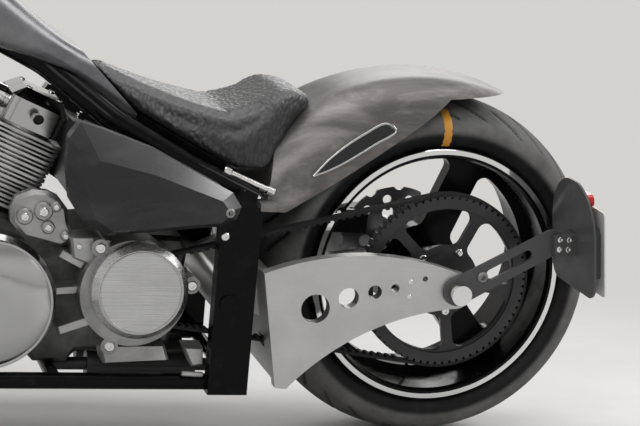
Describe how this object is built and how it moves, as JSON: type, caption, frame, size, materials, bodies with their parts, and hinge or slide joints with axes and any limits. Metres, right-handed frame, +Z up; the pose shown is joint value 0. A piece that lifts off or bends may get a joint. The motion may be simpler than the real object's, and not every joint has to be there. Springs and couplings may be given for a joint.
{
  "type": "chopper motorcycle",
  "caption": "Low custom chopper with a very wide rear tyre, plate swingarm, belt drive, vee engine and raked fork, parked leaning on its side stand.",
  "frame": {"origin": "on the road at the centre of the parked machine's footprint box", "axes": "+X forward, +Y to the rider's left, +Z up; the machine leans to +Y on its side stand"},
  "size_m": [2.5249, 0.8372, 1.1818],
  "materials": {
    "tyre_rubber": "matt, worn",
    "rim_black": "gloss black",
    "pulley_black": "satin black",
    "disc_steel": "ground",
    "belt_rubber": "matt",
    "arm_aluminium": "brushed",
    "axle_polished": "polished",
    "frame_black": "gloss black",
    "shock_black": "satin black",
    "engine_silver": "cast",
    "engine_polished": "polished",
    "cover_brushed": "brushed",
    "air_cleaner_chrome": "polished",
    "exhaust_black": "satin black",
    "cover_gunmetal": "metallic",
    "body_paint": "metallic",
    "seat_leather": "embossed",
    "cap_chrome": "polished",
    "caliper_black": "satin black",
    "plate_black": "satin black",
    "plate_white": "plain",
    "lamp_red": "clear red",
    "control_alloy": "satin",
    "fork_alloy": "polished",
    "fork_chrome": "polished",
    "grip_rubber": "matt",
    "lamp_chrome": "polished"
  },
  "bodies": {
    "chassis": {"frame": "frame_black", "swingarm": "arm_aluminium", "pivot_bolt": "axle_polished", "rear_axle": "axle_polished", "shock_absorbers": "shock_black", "crankcase": "engine_silver", "primary_case": "engine_polished", "clutch_dome": "engine_polished", "gearbox_flange": "engine_silver", "gearbox_cover": "cover_brushed", "cylinder_rear": "engine_silver", "cylinder_front": "engine_silver", "head_rear": "engine_polished", "head_front": "engine_polished", "air_cleaner": "air_cleaner_chrome", "exhaust": "exhaust_black", "oil_tank": "cover_gunmetal", "drive_belt": "belt_rubber", "seat": "seat_leather", "seat_pan": "frame_black", "fuel_tank": "body_paint", "fuel_cap": "cap_chrome", "rear_fender": "body_paint", "rear_caliper": "caliper_black", "plate_bracket": "plate_black", "number_plate": "plate_white", "tail_lamp": "lamp_red", "foot_control_left": "control_alloy", "foot_control_right": "control_alloy", "stand_bracket": "frame_black"},
    "rear_wheel": {"rear_tyre": "tyre_rubber", "rear_rim": "rim_black", "rear_pulley": "pulley_black", "rear_brake_disc": "disc_steel"},
    "steering": {"lower_tree": "fork_alloy", "upper_tree": "fork_alloy", "fork_tubes": "fork_chrome", "fork_sliders": "fork_alloy", "front_axle": "axle_polished", "risers": "cap_chrome", "handlebar": "cap_chrome", "grips": "grip_rubber", "levers": "cap_chrome", "headlamp": "lamp_chrome", "front_fender": "body_paint", "front_caliper": "caliper_black"},
    "front_wheel": {"front_tyre": "tyre_rubber", "front_rim": "rim_black", "front_brake_disc": "disc_steel"},
    "side_stand": {"side_stand": "frame_black"}
  },
  "joints": [
    {"name": "rear_wheel_spin", "type": "hinge", "parent": "chassis", "child": "rear_wheel", "pos_m": [-0.9325, -0.08254, 0.32934], "axis": [0, 0.9925, -0.1219], "continuous": true},
    {"name": "steering_turn", "type": "hinge", "parent": "chassis", "child": "steering", "pos_m": [0.36365, -0.00833, 0.9338], "axis": [-0.6157, 0.096, 0.7821], "range_deg": [-34, 34]},
    {"name": "front_wheel_spin", "type": "hinge", "parent": "steering", "child": "front_wheel", "pos_m": [0.9175, -0.08086, 0.34305], "axis": [0, 0.9925, -0.1219], "continuous": true},
    {"name": "side_stand_fold", "type": "hinge", "parent": "chassis", "child": "side_stand", "pos_m": [-0.0025, 0.10403, 0.09284], "axis": [0, 0.672, 0.7405], "range_deg": [0, 100]}
  ]
}
